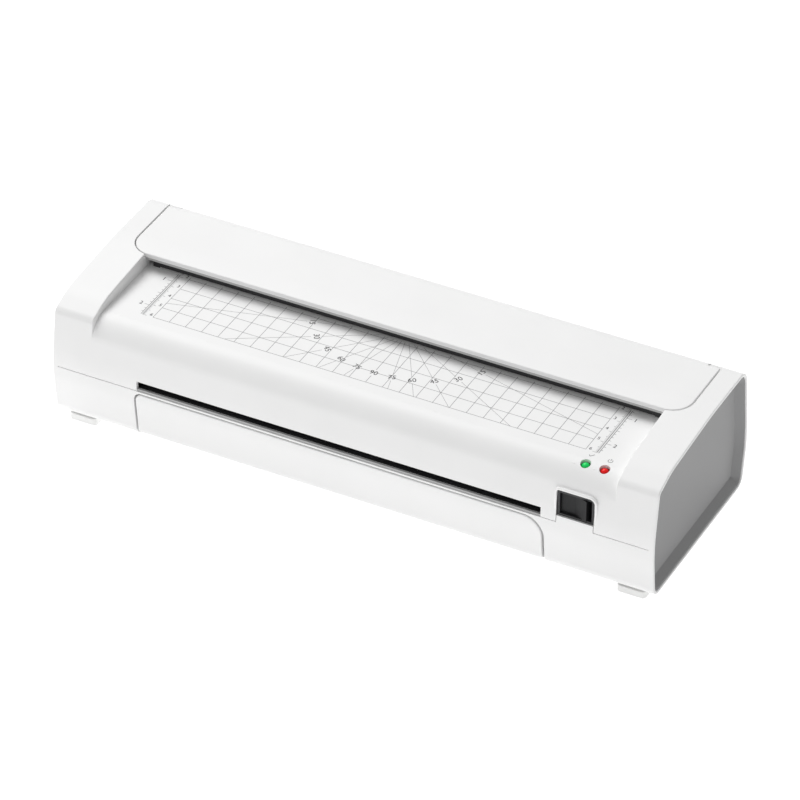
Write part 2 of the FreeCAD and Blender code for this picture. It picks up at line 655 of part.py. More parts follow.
def on_front(edge):
    """Edges on the case's outer face, away from the tray's turned-in foot."""
    points = [v.Point for v in edge.Vertexes]
    return all(outside_section(p, 0.02) and p.z > TRAY_BOTTOM + 1 for p in points)


def make_tray():
    skin = along_x(SECTION, -FAR, FAR).cut(along_x(SECTION, -2 * FAR, 2 * FAR, TRAY_THICKNESS))
    panel = skin.common(prism_y(tray_outline(0, 0), -FAR, 0))
    panel = soften(panel, EDGE_ROUND, lambda e: outside_section(e.CenterOfMass, 0.6) and on_front(e))
    pieces = [panel]
    for x in (TRAY_LEFT, TRAY_RIGHT - TRAY_KNUCKLE):
        knuckle = rod_x(x, x + TRAY_KNUCKLE, TRAY_PIVOT_Y, TRAY_PIVOT_Z, TRAY_KNUCKLE_RADIUS)
        arm = box(x, x + TRAY_KNUCKLE, TRAY_PIVOT_Y - 4, TRAY_PIVOT_Y, TRAY_PIVOT_Z - 1.5, TRAY_PIVOT_Z + 3)
        pieces.append(knuckle.fuse(arm).common(along_x(SECTION, -FAR, FAR, 0.5)))
    return join(pieces).cut(rod_x(-FAR, FAR, TRAY_PIVOT_Y, TRAY_PIVOT_Z, TRAY_PIN_RADIUS))


def make_tray_pins():
    spans = ((BAY_LEFT - BAY_SIDE + 0.5, TRAY_LEFT + TRAY_KNUCKLE - 1),
             (TRAY_RIGHT - TRAY_KNUCKLE + 1, BAY_RIGHT + BAY_SIDE - 0.5))
    return [rod_x(x0, x1, TRAY_PIVOT_Y, TRAY_PIVOT_Z, TRAY_PIN_RADIUS) for x0, x1 in spans]


# ---- mechanism
def make_side_frame(inner, outward):
    """Steel side plate with round holes for the lower bush, a slot for the upper, and a spring perch."""
    x0, x1 = sorted((inner, inner + outward * FRAME_THICKNESS))
    plate = box(x0, x1, FRAME_FRONT, FRAME_BACK, FRAME_BOTTOM, FRAME_TOP)
    tower = box(x0, x1, ROLLER_Y - TOWER_HALF, ROLLER_Y + TOWER_HALF, FRAME_TOP - 1, PERCH_TOP)
    p0, p1 = sorted((inner, inner - outward * (BUSH_COLLAR + 1)))
    perch = box(p0, p1, ROLLER_Y - PERCH_HALF, ROLLER_Y + PERCH_HALF, PERCH_TOP - PERCH_THICKNESS, PERCH_TOP)
    plate = join([plate, tower, perch])
    plate = plate.cut(rod_x(x0 - 1, x1 + 1, ROLLER_Y, LOWER_Z, BUSH_RADIUS))
    for lift in (0.0, ROLLER_LIFT + 0.2):
        plate = plate.cut(rod_x(x0 - 1, x1 + 1, ROLLER_Y, UPPER_Z + lift, BUSH_RADIUS))
    plate = plate.cut(box(x0 - 1, x1 + 1, ROLLER_Y - BUSH_RADIUS, ROLLER_Y + BUSH_RADIUS, UPPER_Z,
                          UPPER_Z + ROLLER_LIFT + 0.2))
    return plate


def make_bush(inner, outward, z, radius):
    """Flanged plain bush: a collar inside the frame and a barrel through it."""
    b0, b1 = sorted((inner, inner + outward * (FRAME_THICKNESS + BUSH_BARREL)))
    c0, c1 = sorted((inner - outward * RUNNING_GAP, inner - outward * BUSH_COLLAR))
    bush = rod_x(b0, b1, ROLLER_Y, z, radius).fuse(rod_x(c0, c1, ROLLER_Y, z, BUSH_RADIUS + BUSH_FLANGE))
    bridge = rod_x(min(b0, c0), max(b1, c1), ROLLER_Y, z, radius)
    return join([bush, bridge]).cut(rod_x(-FAR, FAR, ROLLER_Y, z, CORE_RADIUS + RUNNING_GAP))


def make_roller(z):
    half = ROLLER_WIDTH / 2
    right_end = FRAME_IN_RIGHT + FRAME_THICKNESS + 4.5
    core = rod_x(GEAR_OUTER - 1, right_end, ROLLER_Y, z, CORE_RADIUS)
    sleeve = rod_x(MID_X - half, MID_X + half, ROLLER_Y, z, ROLLER_RADIUS)
    sleeve = sleeve.cut(rod_x(-FAR, FAR, ROLLER_Y, z, CORE_RADIUS))
    clip_x = FRAME_IN_RIGHT + FRAME_THICKNESS + 2.0
    clip = rod_x(clip_x, clip_x + CLIP_THICKNESS, ROLLER_Y, z, CORE_RADIUS + 2)
    clip = clip.cut(rod_x(-FAR, FAR, ROLLER_Y, z, CORE_RADIUS))
    return core, sleeve, clip


def mesh_angle(follower_teeth):
    """Tooth angle of the pinion that sets its teeth in the gaps of the lower roller gear."""
    roller_pitch = 360.0 / ROLLER_TEETH
    offset = (90.0 - PINION_ANGLE) / roller_pitch
    return PINION_ANGLE + 180.0 + (0.5 - offset) * 360.0 / follower_teeth


def make_guides(y0, y1, low0, low1, high0, high1):
    """A lower and an upper sheet that narrow from one height to another."""
    t = GUIDE_THICKNESS
    lower = [(y0, low0 - t), (y0, low0), (y1, low1), (y1, low1 - t)]
    upper = [(y0, high0), (y0, high0 + t), (y1, high1 + t), (y1, high1)]
    return [polygon_x(p, FRAME_IN_LEFT, FRAME_IN_RIGHT) for p in (lower, upper)]


def make_trimmer():
    carriage_x0 = CARRIAGE_X - CARRIAGE_LENGTH / 2
    carriage_x1 = CARRIAGE_X + CARRIAGE_LENGTH / 2
    rail_front = RAIL_Y - RAIL_SIZE / 2
    rail_back = RAIL_Y + RAIL_SIZE / 2
    rail_top = RAIL_BOTTOM + RAIL_SIZE
    leg_front = rail_front - SLIDE_GAP - CARRIAGE_LEG
    leg_back = rail_back + SLIDE_GAP + CARRIAGE_REAR_LEG
    plate_bottom = CARRIAGE_TOP - CARRIAGE_PLATE
    rail_half = TROUGH_HALF - END_BLOCK
    save("guide_rail", box(-rail_half, rail_half, rail_front, rail_back, RAIL_BOTTOM, rail_top))
    block = box(rail_half, TROUGH_HALF, RAIL_Y - END_BLOCK_WIDTH / 2, RAIL_Y + END_BLOCK_WIDTH / 2,
                TROUGH_FLOOR, rail_top + 1.0)
    save("rail_end_blocks", *both_ends(block))
    save("cutting_mat", mat_block(BED_HEIGHT))
    clamp_bottom = BED_HEIGHT + CLAMP_LIFT
    clamp_half = BED_HALF - 3
    clamp = box(-clamp_half, clamp_half, CLAMP_FRONT, CLAMP_BACK, clamp_bottom,
                clamp_bottom + CLAMP_THICKNESS)
    front_top = [e for e in clamp.Edges if abs(e.CenterOfMass.y - CLAMP_FRONT) < 1e-6
                 and abs(e.CenterOfMass.z - clamp_bottom - CLAMP_THICKNESS) < 1e-6]
    clamp = clamp.makeFillet(CLAMP_ROUND, front_top)
    pads = both_ends(box(clamp_half - CLAMP_PAD, clamp_half, CLAMP_FRONT, CLAMP_BACK, BED_HEIGHT,
                         clamp_bottom))
    save("clamp_bar", join([clamp] + pads))
    carriage = box(carriage_x0, carriage_x1, CLAMP_BACK + 0.4, leg_back, plate_bottom, CARRIAGE_TOP)
    carriage = carriage.fuse(box(carriage_x0, carriage_x1, leg_front, leg_back, RAIL_BOTTOM + 1.5,
                                 plate_bottom))
    carriage = carriage.cut(box(-FAR, FAR, rail_front - SLIDE_GAP, rail_back + SLIDE_GAP, 0,
                                rail_top + SLIDE_GAP))
    stem_back = CUT_Y + BLADE_THICKNESS / 2 + STEM_DEPTH
    stem_gap = STEM_HALF + SLIDE_GAP
    carriage = carriage.cut(box(CARRIAGE_X - stem_gap, CARRIAGE_X + stem_gap, CUT_Y - 0.6,
                                stem_back + SLIDE_GAP, BED_HEIGHT, FAR))
    well_y = leg_front + CARRIAGE_LEG / 2
    wells = [CARRIAGE_X - WELL_OFFSET, CARRIAGE_X + WELL_OFFSET]
    well_bottom = RAIL_BOTTOM + WELL_FLOOR
    for x in wells:
        carriage = carriage.cut(rod_z(well_bottom, FAR, x, well_y, WELL_RADIUS))
    save("cutter_carriage", carriage)
    cap_bottom = CARRIAGE_TOP + BUTTON_TRAVEL + 0.1
    cap = box(CARRIAGE_X - BUTTON_HALF, CARRIAGE_X + BUTTON_HALF, CUT_Y - 0.6, well_y + 3.5, cap_bottom,
              cap_bottom + BUTTON_THICKNESS)
    stem_front = CUT_Y + BLADE_THICKNESS / 2
    stem = box(CARRIAGE_X - STEM_HALF, CARRIAGE_X + STEM_HALF, stem_front, stem_back,
               BED_HEIGHT + BUTTON_TRAVEL + 0.3, cap_bottom)
    cap = soften(cap, EDGE_ROUND, lambda e: e.CenterOfMass.z > cap_bottom + BUTTON_THICKNESS - 0.1)
    save("cutter_button", cap.fuse(stem))
    blade = box(CARRIAGE_X - BLADE_HALF, CARRIAGE_X + BLADE_HALF, CUT_Y - BLADE_THICKNESS / 2, stem_front,
                BED_HEIGHT + BUTTON_TRAVEL + BLADE_LIFT, cap_bottom)
    save("cutter_blade", blade)
    save("button_springs", *[coil(x, well_y, well_bottom, cap_bottom, 1.1, 0.2, 5) for x in wells])


def make_switch():
    half = SWITCH_WIDTH / 2
    wall = SWITCH_WALL
    corners = [(SWITCH_X - half, SWITCH_BOTTOM, 0.5),
               (SWITCH_X - half, SWITCH_TOP, SWITCH_LEFT_CORNER - SWITCH_GAP),
               (SWITCH_X + half, SWITCH_TOP, SWITCH_RIGHT_CORNER - SWITCH_GAP),
               (SWITCH_X + half, SWITCH_BOTTOM, 0.5)]
    body = prism_y(corners, SWITCH_FACE, SWITCH_BACK)
    body = body.cut(box(SWITCH_X - half + wall, SWITCH_X + half - wall, -FAR, ROCKER_PIVOT_Y + 5.8,
                        SWITCH_BOTTOM + wall, SWITCH_TOP - wall))
    body = body.cut(rod_z(SWITCH_BOTTOM + 0.4, SWITCH_TOP - 0.4, SWITCH_X, ROCKER_PIVOT_Y, 1.2 + RUNNING_GAP))
    save("switch_body", body)
    level = (SWITCH_BOTTOM + SWITCH_TOP) / 2
    tabs = [box(x - 2.4, x + 2.4, SWITCH_BACK, SWITCH_BACK + TERMINAL_LENGTH, level - 0.4, level + 0.4)
            for x in (SWITCH_X - TERMINAL_PITCH, SWITCH_X, SWITCH_X + TERMINAL_PITCH)]
    save("switch_terminals", *tabs)
    rise = math.tan(math.radians(ROCKER_TILT)) * ROCKER_HALF
    face = ROCKER_FACE
    outline = [(-ROCKER_HALF, -face - rise), (0.0, -face), (ROCKER_HALF, -face - rise), (ROCKER_HALF, -1.0),
               (3.0, 4.0), (-3.0, 4.0), (-ROCKER_HALF, -1.0)]
    low = SWITCH_BOTTOM + wall + 0.2
    high = SWITCH_TOP - wall - 0.2
    corners = [V(x, y, low) for x, y in outline]
    rocker = Part.Face(Part.makePolygon(corners + corners[:1])).extrude(V(0, 0, high - low))
    rocker = rocker.fuse(rod_z(low - 0.8, high + 0.8, 0, 0, 1.2))
    rocker.rotate(V(0, 0, 0), V(0, 0, 1), -ROCKER_TILT)
    rocker.translate(V(SWITCH_X, ROCKER_PIVOT_Y, 0))
    save("power_rocker", rocker)


def make_lamps():
    board = box(GREEN_X - 8, RED_X + 6, LAMP_Y - 5, LAMP_Y + 5,
                LAMP_BOARD_TOP - BOARD_THICKNESS, LAMP_BOARD_TOP)
    save("lamp_board", board)
    for name, x in (("green_lamp", GREEN_X), ("red_lamp", RED_X)):
        tip = BED_HEIGHT - LAMP_TOP - LAMP_RADIUS
        lamp = rod_z(LAMP_BOARD_TOP, tip, x, LAMP_Y, LAMP_RADIUS)
        save(name, lamp.fuse(Part.makeSphere(LAMP_RADIUS, V(x, LAMP_Y, tip))))


def make_gland():
    back = DEPTH / 2 - GLAND_SETBACK
    gland = rod_y(back - GLAND_LENGTH, back, GLAND_X, GLAND_Z, GLAND_RADIUS)
    gland = gland.fuse(rod_y(back - 8.5, back - 6.0, GLAND_X, GLAND_Z, GLAND_RADIUS + 2))
    return gland.cut(rod_y(0, FAR, GLAND_X, GLAND_Z, GLAND_BORE))


def make_harness():
    """Leads along the rear of the case, from the board to the motor."""
    right = BOARD_LEFT + 21.0
    left = MOTOR_SIDE + 4.0
    bend = HARNESS_BEND
    y = HARNESS_Y
    s = bend * (1 - math.sqrt(0.5))

    def at(x, y):
        return V(x, y, HARNESS_Z)

    edges = [Part.makeLine(at(right, BOARD_BACK), at(right, y - bend)),
             Part.Arc(at(right, y - bend), at(right - s, y - s), at(right - bend, y)).toShape(),
             Part.makeLine(at(right - bend, y), at(left + bend, y)),
             Part.Arc(at(left + bend, y), at(left + s, y - s), at(left, y - bend)).toShape(),
             Part.makeLine(at(left, y - bend), at(left, HARNESS_END))]
    ring = Part.Wire(Part.makeCircle(HARNESS_RADIUS, at(right, BOARD_BACK), V(0, 1, 0)))
    return Part.Wire(edges).makePipeShell([ring], True, True)


# ---- write every piece
save("top_housing", make_top_housing())
save("bottom_case", make_bottom_case())
frame_ring = make_end_frame()
panel = make_end_panel()
for side, ring_shape, panel_shape in (("right", frame_ring, panel),
                                      ("left", both_ends(frame_ring)[1], both_ends(panel)[1])):
    save("end_frame_" + side, ring_shape)
    save("end_panel_" + side, panel_shape)
save("slot_lip", make_slot_lip())
save("feet", *make_feet())
save("lid", make_lid())
save("lid_edge_strip", make_lid_strip())
save("lid_hinge_pins", *make_lid_pins())
save("feed_tray", make_tray())
save("tray_hinge_pins", *make_tray_pins())
make_trimmer()
make_switch()
make_lamps()
save("cord_gland", make_gland())

save("side_frame_left", make_side_frame(FRAME_IN_LEFT, -1))
save("side_frame_right", make_side_frame(FRAME_IN_RIGHT, 1))
save("tie_rods", *[rod_x(FRAME_IN_LEFT, FRAME_IN_RIGHT, y, ROD_Z, ROD_RADIUS) for y in ROD_PLACES])
frame_sides = ((FRAME_IN_LEFT, -1), (FRAME_IN_RIGHT, 1))
save("lower_bushes", *[make_bush(inner, outward, LOWER_Z, BUSH_RADIUS) for inner, outward in frame_sides])
loose = BUSH_RADIUS - RUNNING_GAP
save("upper_bushes", *[make_bush(inner, outward, UPPER_Z, loose) for inner, outward in frame_sides])
spring_places = (FRAME_IN_LEFT + BUSH_COLLAR / 2, FRAME_IN_RIGHT - BUSH_COLLAR / 2)
spring_high = SPRING_LOW + SPRING_LENGTH
save("pressure_springs", *[coil(x, ROLLER_Y, SPRING_LOW, spring_high, 1.9, 0.4, 3) for x in spring_places])
for level, z, angle in (("lower", LOWER_Z, 90.0), ("upper", UPPER_Z, -90.0 + 180.0 / ROLLER_TEETH)):
    core, sleeve, clip = make_roller(z)
    save(level + "_roller_core", core)
    save(level + "_roller_sleeve", sleeve)
    save(level + "_roller_clip", clip)
    save(level + "_roller_gear", gear(ROLLER_TEETH, GEAR_OUTER, GEAR_OUTER + GEAR_WIDTH, ROLLER_Y, z, angle,
                                      CORE_RADIUS))

save("motor_pinion", gear(PINION_TEETH, GEAR_OUTER, GEAR_OUTER + GEAR_WIDTH, PINION_Y, PINION_Z,
                          mesh_angle(PINION_TEETH), MOTOR_SHAFT_RADIUS))
save("motor_shaft", rod_x(MOTOR_SIDE + SLIDE_GAP, GEAR_OUTER + GEAR_WIDTH + 0.5, PINION_Y, PINION_Z,
                          MOTOR_SHAFT_RADIUS))
save("gear_motor", rod_x(MOTOR_SIDE - MOTOR_LENGTH, MOTOR_SIDE, PINION_Y, PINION_Z, MOTOR_RADIUS))
bracket = box(MOTOR_SIDE, MOTOR_SIDE + BRACKET_THICKNESS, PINION_Y - BRACKET_FRONT, PINION_Y + BRACKET_BACK,
              PINION_Z - MOTOR_RADIUS, PINION_Z + MOTOR_RADIUS)
bracket = bracket.cut(rod_x(-FAR, FAR, PINION_Y, PINION_Z, MOTOR_SHAFT_RADIUS + 2))
post_places = [(PINION_Y - POST_FORWARD, PINION_Z + side * POST_SPREAD) for side in (-1, 1)]
frame_outside = FRAME_IN_LEFT - FRAME_THICKNESS
posts = [rod_x(MOTOR_SIDE + BRACKET_THICKNESS, frame_outside, y, z, 3.0) for y, z in post_places]
save("motor_bracket", join([bracket] + posts))

plate_box = (FRAME_IN_LEFT, FRAME_IN_RIGHT, PLATE_FRONT, PLATE_BACK)
save("lower_heater_plate", box(*plate_box, PLATE_BOTTOM - PLATE_THICKNESS, PLATE_BOTTOM))
save("upper_heater_plate", box(*plate_box, PLATE_TOP, PLATE_TOP + PLATE_THICKNESS))
element_box = (MID_X - ELEMENT_HALF, MID_X + ELEMENT_HALF, PLATE_FRONT + 4, PLATE_BACK - 12)
low_back = PLATE_BOTTOM - PLATE_THICKNESS
high_back = PLATE_TOP + PLATE_THICKNESS
save("lower_heating_element", box(*element_box, low_back - ELEMENT_THICKNESS, low_back))
save("upper_heating_element", box(*element_box, high_back, high_back + ELEMENT_THICKNESS))
sensor_y = PLATE_BACK - SENSOR_IN
save("thermostat", rod_z(high_back, high_back + THERMOSTAT_HEIGHT, MID_X, sensor_y, THERMOSTAT_RADIUS))
fuse_x = MID_X + 12
save("thermal_fuse", rod_x(fuse_x, fuse_x + FUSE_LENGTH, sensor_y, high_back + FUSE_RADIUS, FUSE_RADIUS))
shield = box(FRAME_IN_LEFT, FRAME_IN_RIGHT, PLATE_FRONT - 1, PLATE_BACK + 2,
             SHIELD_Z, SHIELD_Z + SHIELD_THICKNESS)
save("heat_shield", shield)
save("entry_guides", *make_guides(GUIDE_SETBACK - DEPTH / 2, PLATE_FRONT, SLOT_BOTTOM - 0.1, PLATE_BOTTOM,
                                  SLOT_TOP + 0.1, PLATE_TOP))
save("exit_guides", *make_guides(ROLLER_Y + EXIT_GUIDE_START, DEPTH / 2 - GUIDE_SETBACK,
                                 SLOT_BOTTOM - EXIT_DROP, SLOT_BOTTOM - 0.6, SLOT_TOP - 0.6,
                                 SLOT_TOP - EXIT_DROP))

save("control_board", box(BOARD_LEFT, BOARD_RIGHT, BOARD_FRONT, BOARD_BACK, BOARD_Z, BOARD_TOP))
capacitor = rod_z(BOARD_TOP, BOARD_TOP + 20, BOARD_RIGHT - 15, BOARD_FRONT + 12, 6.5)
relay = box(BOARD_LEFT + 5, BOARD_LEFT + 23, BOARD_BACK - 20, BOARD_BACK - 8, BOARD_TOP, BOARD_TOP + 15.4)
save("board_components", capacitor, relay)
save("wiring_harness", make_harness())

case_screws = []
for x, y in screw_places():
    seat = FOOT_HEIGHT + SCREW_SINK
    head = rod_z(seat - 2.4, seat, x, y, SCREW_HEAD)
    case_screws.append(head.fuse(rod_z(seat - 1, PARTING + 12, x, y, SCREW_RADIUS)))
save("case_screws", *case_screws)
frame_screws = []
for inner, outward in frame_sides:
    outside = inner + outward * FRAME_THICKNESS
    x0, x1 = sorted((outside, outside + outward * 2.0))
    frame_screws += [rod_x(x0, x1, y, ROD_Z, ROD_RADIUS - 0.2) for y in ROD_PLACES]
save("frame_screws", *frame_screws)
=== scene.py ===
# %% [markdown]
# # A pouch laminator with a paper trimmer on top
# The frame already holds every moulded and mechanical part at its true size. This lesson adds what a
# drawing of solids can't show: the printed scale on the bed, small fittings, finishes, light and a camera.

# %% load the frame
import bmesh
import bpy
import json
import math
from mathutils import Matrix, Vector

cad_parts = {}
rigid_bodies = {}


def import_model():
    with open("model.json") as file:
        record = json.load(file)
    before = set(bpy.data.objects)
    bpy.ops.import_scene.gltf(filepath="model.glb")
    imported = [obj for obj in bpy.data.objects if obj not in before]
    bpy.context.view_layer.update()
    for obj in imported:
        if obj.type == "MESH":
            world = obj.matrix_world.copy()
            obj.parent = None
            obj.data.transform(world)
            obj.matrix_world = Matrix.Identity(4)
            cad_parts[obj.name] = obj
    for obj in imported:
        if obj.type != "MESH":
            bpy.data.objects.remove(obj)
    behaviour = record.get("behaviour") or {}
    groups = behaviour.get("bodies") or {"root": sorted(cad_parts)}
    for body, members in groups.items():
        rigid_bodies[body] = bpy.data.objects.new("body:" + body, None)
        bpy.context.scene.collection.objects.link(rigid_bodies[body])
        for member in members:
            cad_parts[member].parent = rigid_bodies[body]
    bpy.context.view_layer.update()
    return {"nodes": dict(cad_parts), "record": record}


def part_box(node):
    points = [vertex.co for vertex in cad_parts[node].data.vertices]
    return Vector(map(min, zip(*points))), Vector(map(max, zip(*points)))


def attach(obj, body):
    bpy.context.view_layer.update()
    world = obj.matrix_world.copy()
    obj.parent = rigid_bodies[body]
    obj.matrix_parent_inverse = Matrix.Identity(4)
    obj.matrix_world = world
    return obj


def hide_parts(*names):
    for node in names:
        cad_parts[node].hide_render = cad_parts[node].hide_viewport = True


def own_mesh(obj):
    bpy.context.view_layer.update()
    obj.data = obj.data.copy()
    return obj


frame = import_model()
MM = 0.001

# %% [markdown]
# ## Camera
# A product of this kind is seen from a long way off with a long lens, so that its long edges stay nearly
# parallel. The camera stands 2.7 m away, about 27 degrees to the right of the front and 36 degrees up.

# %% camera
AZIMUTH = math.radians(27.37)
ELEVATION = math.radians(36.17)
LENS = 228.34
SENSOR = 36.0
STAND = (1.0213, -1.9695, 1.6573)
level = math.cos(ELEVATION)
back = Vector((math.sin(AZIMUTH) * level, -math.cos(AZIMUTH) * level, math.sin(ELEVATION)))
camera_data = bpy.data.cameras.new("camera")
camera_data.sensor_width = SENSOR
camera_data.lens = LENS
camera_data.clip_end = 50.0
camera = bpy.data.objects.new("camera", camera_data)
camera.location = STAND
camera.rotation_mode = "QUATERNION"
camera.rotation_quaternion = (-back).to_track_quat("-Z", "Y")
bpy.context.scene.collection.objects.link(camera)
bpy.context.scene.camera = camera
print("camera", [round(v, 3) for v in camera.location])

# %% [markdown]
# ## Light
# White goods are lit by a white room. A dim even sky fills the shadows. One large soft panel, high on the
# left and a little behind, gives each face its own tone and shades the bed under the lid, and a weak one
# lights the front. The large one stands well away, so that it lights both ends alike. Small hard lights
# would show as hot spots.

# %% sky and soft panels
SKY = 0.4
PANELS = (
    ("key_panel", (-2.4, 1.6, 4.2), 3.0, 200.0),
    ("front_panel", (-0.8, -1.9, 0.8), 1.5, 7.0),
)
world = bpy.data.worlds.new("white_room")
bpy.context.scene.world = world
world.use_nodes = True
room = world.node_tree.nodes["Background"]
room.inputs["Color"].default_value = (1.0, 1.0, 1.0, 1.0)
room.inputs["Strength"].default_value = SKY
bpy.context.scene.view_settings.view_transform = "Standard"
for name, place, size, power in PANELS:
    light = bpy.data.lights.new(name, "AREA")
    light.energy = power
    light.size = size
    panel = bpy.data.objects.new(name, light)
    panel.location = place
    panel.rotation_mode = "QUATERNION"
    panel.rotation_quaternion = Vector(place).to_track_quat("Z", "Y")
    panel.visible_camera = False
    bpy.context.scene.collection.objects.link(panel)
print("soft panels", len(PANELS), "sky", SKY)

# %% [markdown]
# ## Nodes that every finish shares
# A moulded part is never one flat tone. Four small helpers cover it: a place to read from, a noise, a
# ramp between two tones, and a bump. They read Object coordinates, which are metres here, so a noise
# scale of 2500 has grains of about 0.4 mm on every part, whatever its size.

# %% finish helpers
def new_finish(name):
    """A material, its tree, its shader and the place its patterns read."""
    material = bpy.data.materials.new(name)
    material.use_nodes = True
    tree = material.node_tree
    place = tree.nodes.new("ShaderNodeTexCoord").outputs["Object"]
    return material, tree, tree.nodes["Principled BSDF"], place


def pattern(tree, kind, place, scale, **settings):
    """A texture node's first output, read at place."""
    node = tree.nodes.new(kind)
    tree.links.new(place, node.inputs["Vector"])
    node.inputs["Scale"].default_value = scale
    for key, value in settings.items():
        node.inputs[key].default_value = value
    return node.outputs[0]


def stretched(tree, place, scale):
    """The place, scaled differently along each axis, for streaks."""
    node = tree.nodes.new("ShaderNodeMapping")
    tree.links.new(place, node.inputs["Vector"])
    node.inputs["Scale"].default_value = scale
    return node.outputs["Vector"]


def tones(tree, factor, dark, light, low=0.35, high=0.65):
    """A ramp from one tone to another."""
    node = tree.nodes.new("ShaderNodeValToRGB")
    node.color_ramp.elements[0].position = low
    node.color_ramp.elements[1].position = high
    node.color_ramp.elements[0].color = (*dark, 1.0)
    node.color_ramp.elements[1].color = (*light, 1.0)
    tree.links.new(factor, node.inputs["Fac"])
    return node.outputs["Color"]


def spread(tree, factor, low, high):
    """The factor, spread between two values."""
    node = tree.nodes.new("ShaderNodeMapRange")
    node.inputs["From Min"].default_value = 0.3
    node.inputs["From Max"].default_value = 0.7
    node.inputs["To Min"].default_value = low
    node.inputs["To Max"].default_value = high
    tree.links.new(factor, node.inputs["Value"])
    return node.outputs["Result"]


def raise_grain(tree, shader, height, depth, strength=1.0):
    """Bump of a real depth, in metres."""
    node = tree.nodes.new("ShaderNodeBump")
    node.inputs["Strength"].default_value = strength
    node.inputs["Distance"].default_value = depth
    tree.links.new(height, node.inputs["Height"])
    tree.links.new(node.outputs["Normal"], shader.inputs["Normal"])


def shade(colour, amount):
    return tuple(min(1.0, c * amount) for c in colour)


print("finish helpers ready")

# %% [markdown]
# ## Moulded plastic and rubber
# Injection moulds are etched, which leaves a fine even grain on the plastic, and the melt cools unevenly,
# which leaves faint cloudy changes in tone and gloss. Rubber is the same with more grain and less gloss.

# %% moulded finishes
FINISHES = {}


def moulded(name, colour, roughness, grain=2500.0, depth=0.00001, cloud=0.012, gloss=0.05, specular=0.5):
    material, tree, shader, place = new_finish(name)
    clouds = pattern(tree, "ShaderNodeTexNoise", place, 22.0, Detail=3.0)
    fine = pattern(tree, "ShaderNodeTexNoise", place, grain, Detail=2.0)
    cloudy = tones(tree, clouds, shade(colour, 1 - cloud), shade(colour, 1 + cloud))
    tree.links.new(cloudy, shader.inputs["Base Color"])
    tree.links.new(spread(tree, clouds, roughness - gloss, roughness + gloss), shader.inputs["Roughness"])
    shader.inputs["Specular IOR Level"].default_value = specular
    raise_grain(tree, shader, fine, depth)
    FINISHES[name] = material


moulded("case_white", (0.85, 0.85, 0.848), 0.5, specular=0.35)
moulded("panel_grey", (0.26, 0.26, 0.262), 0.5, cloud=0.04, specular=0.35)
moulded("strip_grey", (0.45, 0.45, 0.45), 0.5, cloud=0.03, specular=0.3)
moulded("foot_rubber", (0.88, 0.88, 0.87), 0.75, grain=1400.0, depth=0.00003, cloud=0.05)
moulded("black_plastic", (0.022, 0.022, 0.024), 0.5, cloud=0.12, depth=0.00002)
moulded("rocker_black", (0.011, 0.011, 0.012), 0.42, cloud=0.08, specular=0.22)
moulded("carriage_grey", (0.2, 0.2, 0.21), 0.45, cloud=0.04)
moulded("button_blue", (0.05, 0.18, 0.45), 0.4, cloud=0.05)
moulded("gear_white", (0.78, 0.77, 0.72), 0.35, cloud=0.02)
moulded("bearing_plastic", (0.68, 0.64, 0.53), 0.5, cloud=0.04)
moulded("rubber", (0.03, 0.03, 0.03), 0.8, grain=1200.0, depth=0.00004, cloud=0.15)
moulded("roller_silicone", (0.45, 0.1, 0.05), 0.55, grain=900.0, depth=0.00003, cloud=0.06)
print("moulded finishes", len(FINISHES))

# %% [markdown]
# ## Metals
# Rolled sheet, drawn rod and extruded rail all carry streaks along the way they were made. The same noise,
# squeezed across and stretched along that way, changes both the gloss and a very shallow bump.

# %% metal finishes
def drawn_metal(name, colour, roughness, along=(8.0, 900.0, 900.0), depth=0.000006):
    material, tree, shader, place = new_finish(name)
    streaks = pattern(tree, "ShaderNodeTexNoise", stretched(tree, place, along), 1.0, Detail=4.0)
    stains = pattern(tree, "ShaderNodeTexNoise", place, 35.0, Detail=2.0)
    tree.links.new(tones(tree, stains, shade(colour, 0.93), shade(colour, 1.04)), shader.inputs["Base Color"])
    tree.links.new(spread(tree, streaks, roughness - 0.08, roughness + 0.1), shader.inputs["Roughness"])
    shader.inputs["Metallic"].default_value = 1.0
    raise_grain(tree, shader, streaks, depth)
    FINISHES[name] = material


drawn_metal("aluminium", (0.72, 0.73, 0.74), 0.36)
drawn_metal("steel", (0.56, 0.57, 0.58), 0.32, along=(300.0, 300.0, 300.0))
drawn_metal("spring_steel", (0.42, 0.42, 0.43), 0.3, along=(500.0, 500.0, 60.0))
drawn_metal("brass", (0.75, 0.6, 0.28), 0.3)
print("metal finishes", [n for n in FINISHES if n in ("aluminium", "steel", "spring_steel", "brass")])

# %% [markdown]
# ## Boards, mat and leads
# A circuit board shows its copper under green varnish, so Voronoi cells squeezed along one way stand for the
# tracks. Mica board is made of flakes, which are Voronoi cells. The cutting mat is a speckled vinyl, and the
# leads lie side by side, so a wave across them gives the look of separate wires.

# %% layered finishes
def layered(name, kind, scale, dark, light, roughness, depth, low=0.35, high=0.65, squeeze=(1.0, 1.0, 1.0)):
    material, tree, shader, place = new_finish(name)
    layer = pattern(tree, kind, stretched(tree, place, squeeze), scale)
    tree.links.new(tones(tree, layer, dark, light, low, high), shader.inputs["Base Color"])
    tree.links.new(spread(tree, layer, roughness - 0.06, roughness + 0.06), shader.inputs["Roughness"])
    raise_grain(tree, shader, layer, depth)
    FINISHES[name] = material


